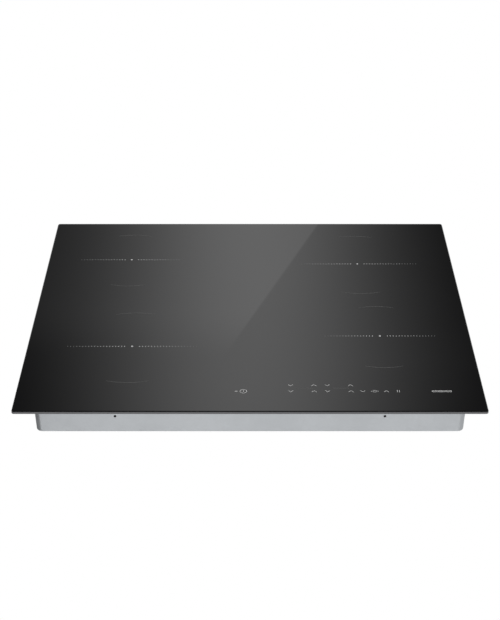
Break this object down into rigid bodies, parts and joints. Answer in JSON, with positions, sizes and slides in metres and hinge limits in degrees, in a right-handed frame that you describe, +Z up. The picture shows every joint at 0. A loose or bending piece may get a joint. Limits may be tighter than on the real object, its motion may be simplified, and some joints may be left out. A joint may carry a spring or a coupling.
{
  "type": "induction hob",
  "caption": "Built-in black glass induction hob with four cooking zones, sheet steel casing, touch controls, cooling fans and a hinged mains terminal cover.",
  "frame": {"origin": "centre of the underside of the casing's tray", "axes": "+Z up through the glass, -Y towards the user (front edge with the touch controls), +X to the user's right"},
  "size_m": [0.595, 0.52, 0.0515],
  "materials": {
    "black_glass": "polished black glass ceramic, opaque",
    "seal_foam": "closed-cell foam strip",
    "galvanised_steel": "bare zinc-coated sheet",
    "silicone": "cured black adhesive",
    "screw_steel": "bright zinc-plated",
    "moulded_plastic": "fine spark-eroded texture",
    "aluminium_sheet": "mill finish",
    "former_plastic": "natural glass-filled resin",
    "litz_copper": "lacquered stranded copper",
    "ferrite": "ground sintered ferrite",
    "mineral_felt": "pressed mineral fibre",
    "sensor_silicone": "grey silicone",
    "spring_steel": "bright spring strip",
    "lead_insulation": "red silicone sleeve",
    "circuit_board": "solder mask over glass epoxy",
    "component_black": "moulded epoxy",
    "component_blue": "boxed film capacitor",
    "component_yellow": "taped winding on ferrite",
    "winding_copper": "enamelled copper wire",
    "brass": "nickel-free brass screws",
    "rotor_plastic": "black moulded fan wheel",
    "display_red": "smoked display face",
    "ribbon_grey": "flat ribbon cable"
  },
  "bodies": {
    "hob": {"glass_plate": "black_glass", "worktop_seal": "seal_foam", "base_tray": "galvanised_steel", "glass_rail_left": "galvanised_steel", "glass_rail_right": "galvanised_steel", "adhesive_beads": "silicone", "rail_screws": "screw_steel", "floor_screws": "screw_steel", "deck_posts": "moulded_plastic", "deck_screws": "screw_steel", "coil_plate": "aluminium_sheet", "coil_former_rear_left": "former_plastic", "coil_winding_rear_left": "litz_copper", "ferrite_bars_rear_left": "ferrite", "insulation_mat_rear_left": "mineral_felt", "coil_former_front_left": "former_plastic", "coil_winding_front_left": "litz_copper", "ferrite_bars_front_left": "ferrite", "insulation_mat_front_left": "mineral_felt", "coil_former_rear_right": "former_plastic", "coil_winding_rear_right": "litz_copper", "ferrite_bars_rear_right": "ferrite", "insulation_mat_rear_right": "mineral_felt", "coil_former_front_right": "former_plastic", "coil_winding_front_right": "litz_copper", "ferrite_bars_front_right": "ferrite", "insulation_mat_front_right": "mineral_felt", "coil_sensors": "sensor_silicone", "coil_springs": "spring_steel", "coil_leads": "lead_insulation", "board_carrier_left": "moulded_plastic", "power_board_left": "circuit_board", "heat_sink_left": "aluminium_sheet", "board_carrier_right": "moulded_plastic", "power_board_right": "circuit_board", "heat_sink_right": "aluminium_sheet", "power_transistors": "component_black", "film_capacitors": "component_blue", "supply_transformers": "component_yellow", "filter_board": "circuit_board", "filter_chokes": "winding_copper", "terminal_box": "moulded_plastic", "terminal_block": "former_plastic", "terminal_screws": "brass", "cable_clamp": "moulded_plastic", "clamp_screws": "screw_steel", "fan_housing_left": "moulded_plastic", "fan_cover_left": "moulded_plastic", "fan_motor_left": "winding_copper", "fan_housing_right": "moulded_plastic", "fan_cover_right": "moulded_plastic", "fan_motor_right": "winding_copper", "control_board": "circuit_board", "control_bracket": "moulded_plastic", "display_modules": "display_red", "touch_springs": "spring_steel", "control_ribbon": "ribbon_grey"},
    "fan_wheel_left": {"fan_rotor_left": "rotor_plastic"},
    "fan_wheel_right": {"fan_rotor_right": "rotor_plastic"},
    "terminal_lid": {"terminal_cover": "moulded_plastic"}
  },
  "joints": [
    {"name": "fan_spin_left", "type": "hinge", "parent": "hob", "child": "fan_wheel_left", "pos_m": [-0.15, -0.1, 0.02], "axis": [0, 0, 1], "continuous": true},
    {"name": "fan_spin_right", "type": "hinge", "parent": "hob", "child": "fan_wheel_right", "pos_m": [0.15, -0.1, 0.02], "axis": [0, 0, 1], "continuous": true},
    {"name": "terminal_cover_hinge", "type": "hinge", "parent": "hob", "child": "terminal_lid", "pos_m": [0, 0.171, 0.0032], "axis": [-1, 0, 0], "range_deg": [0, 95]}
  ]
}
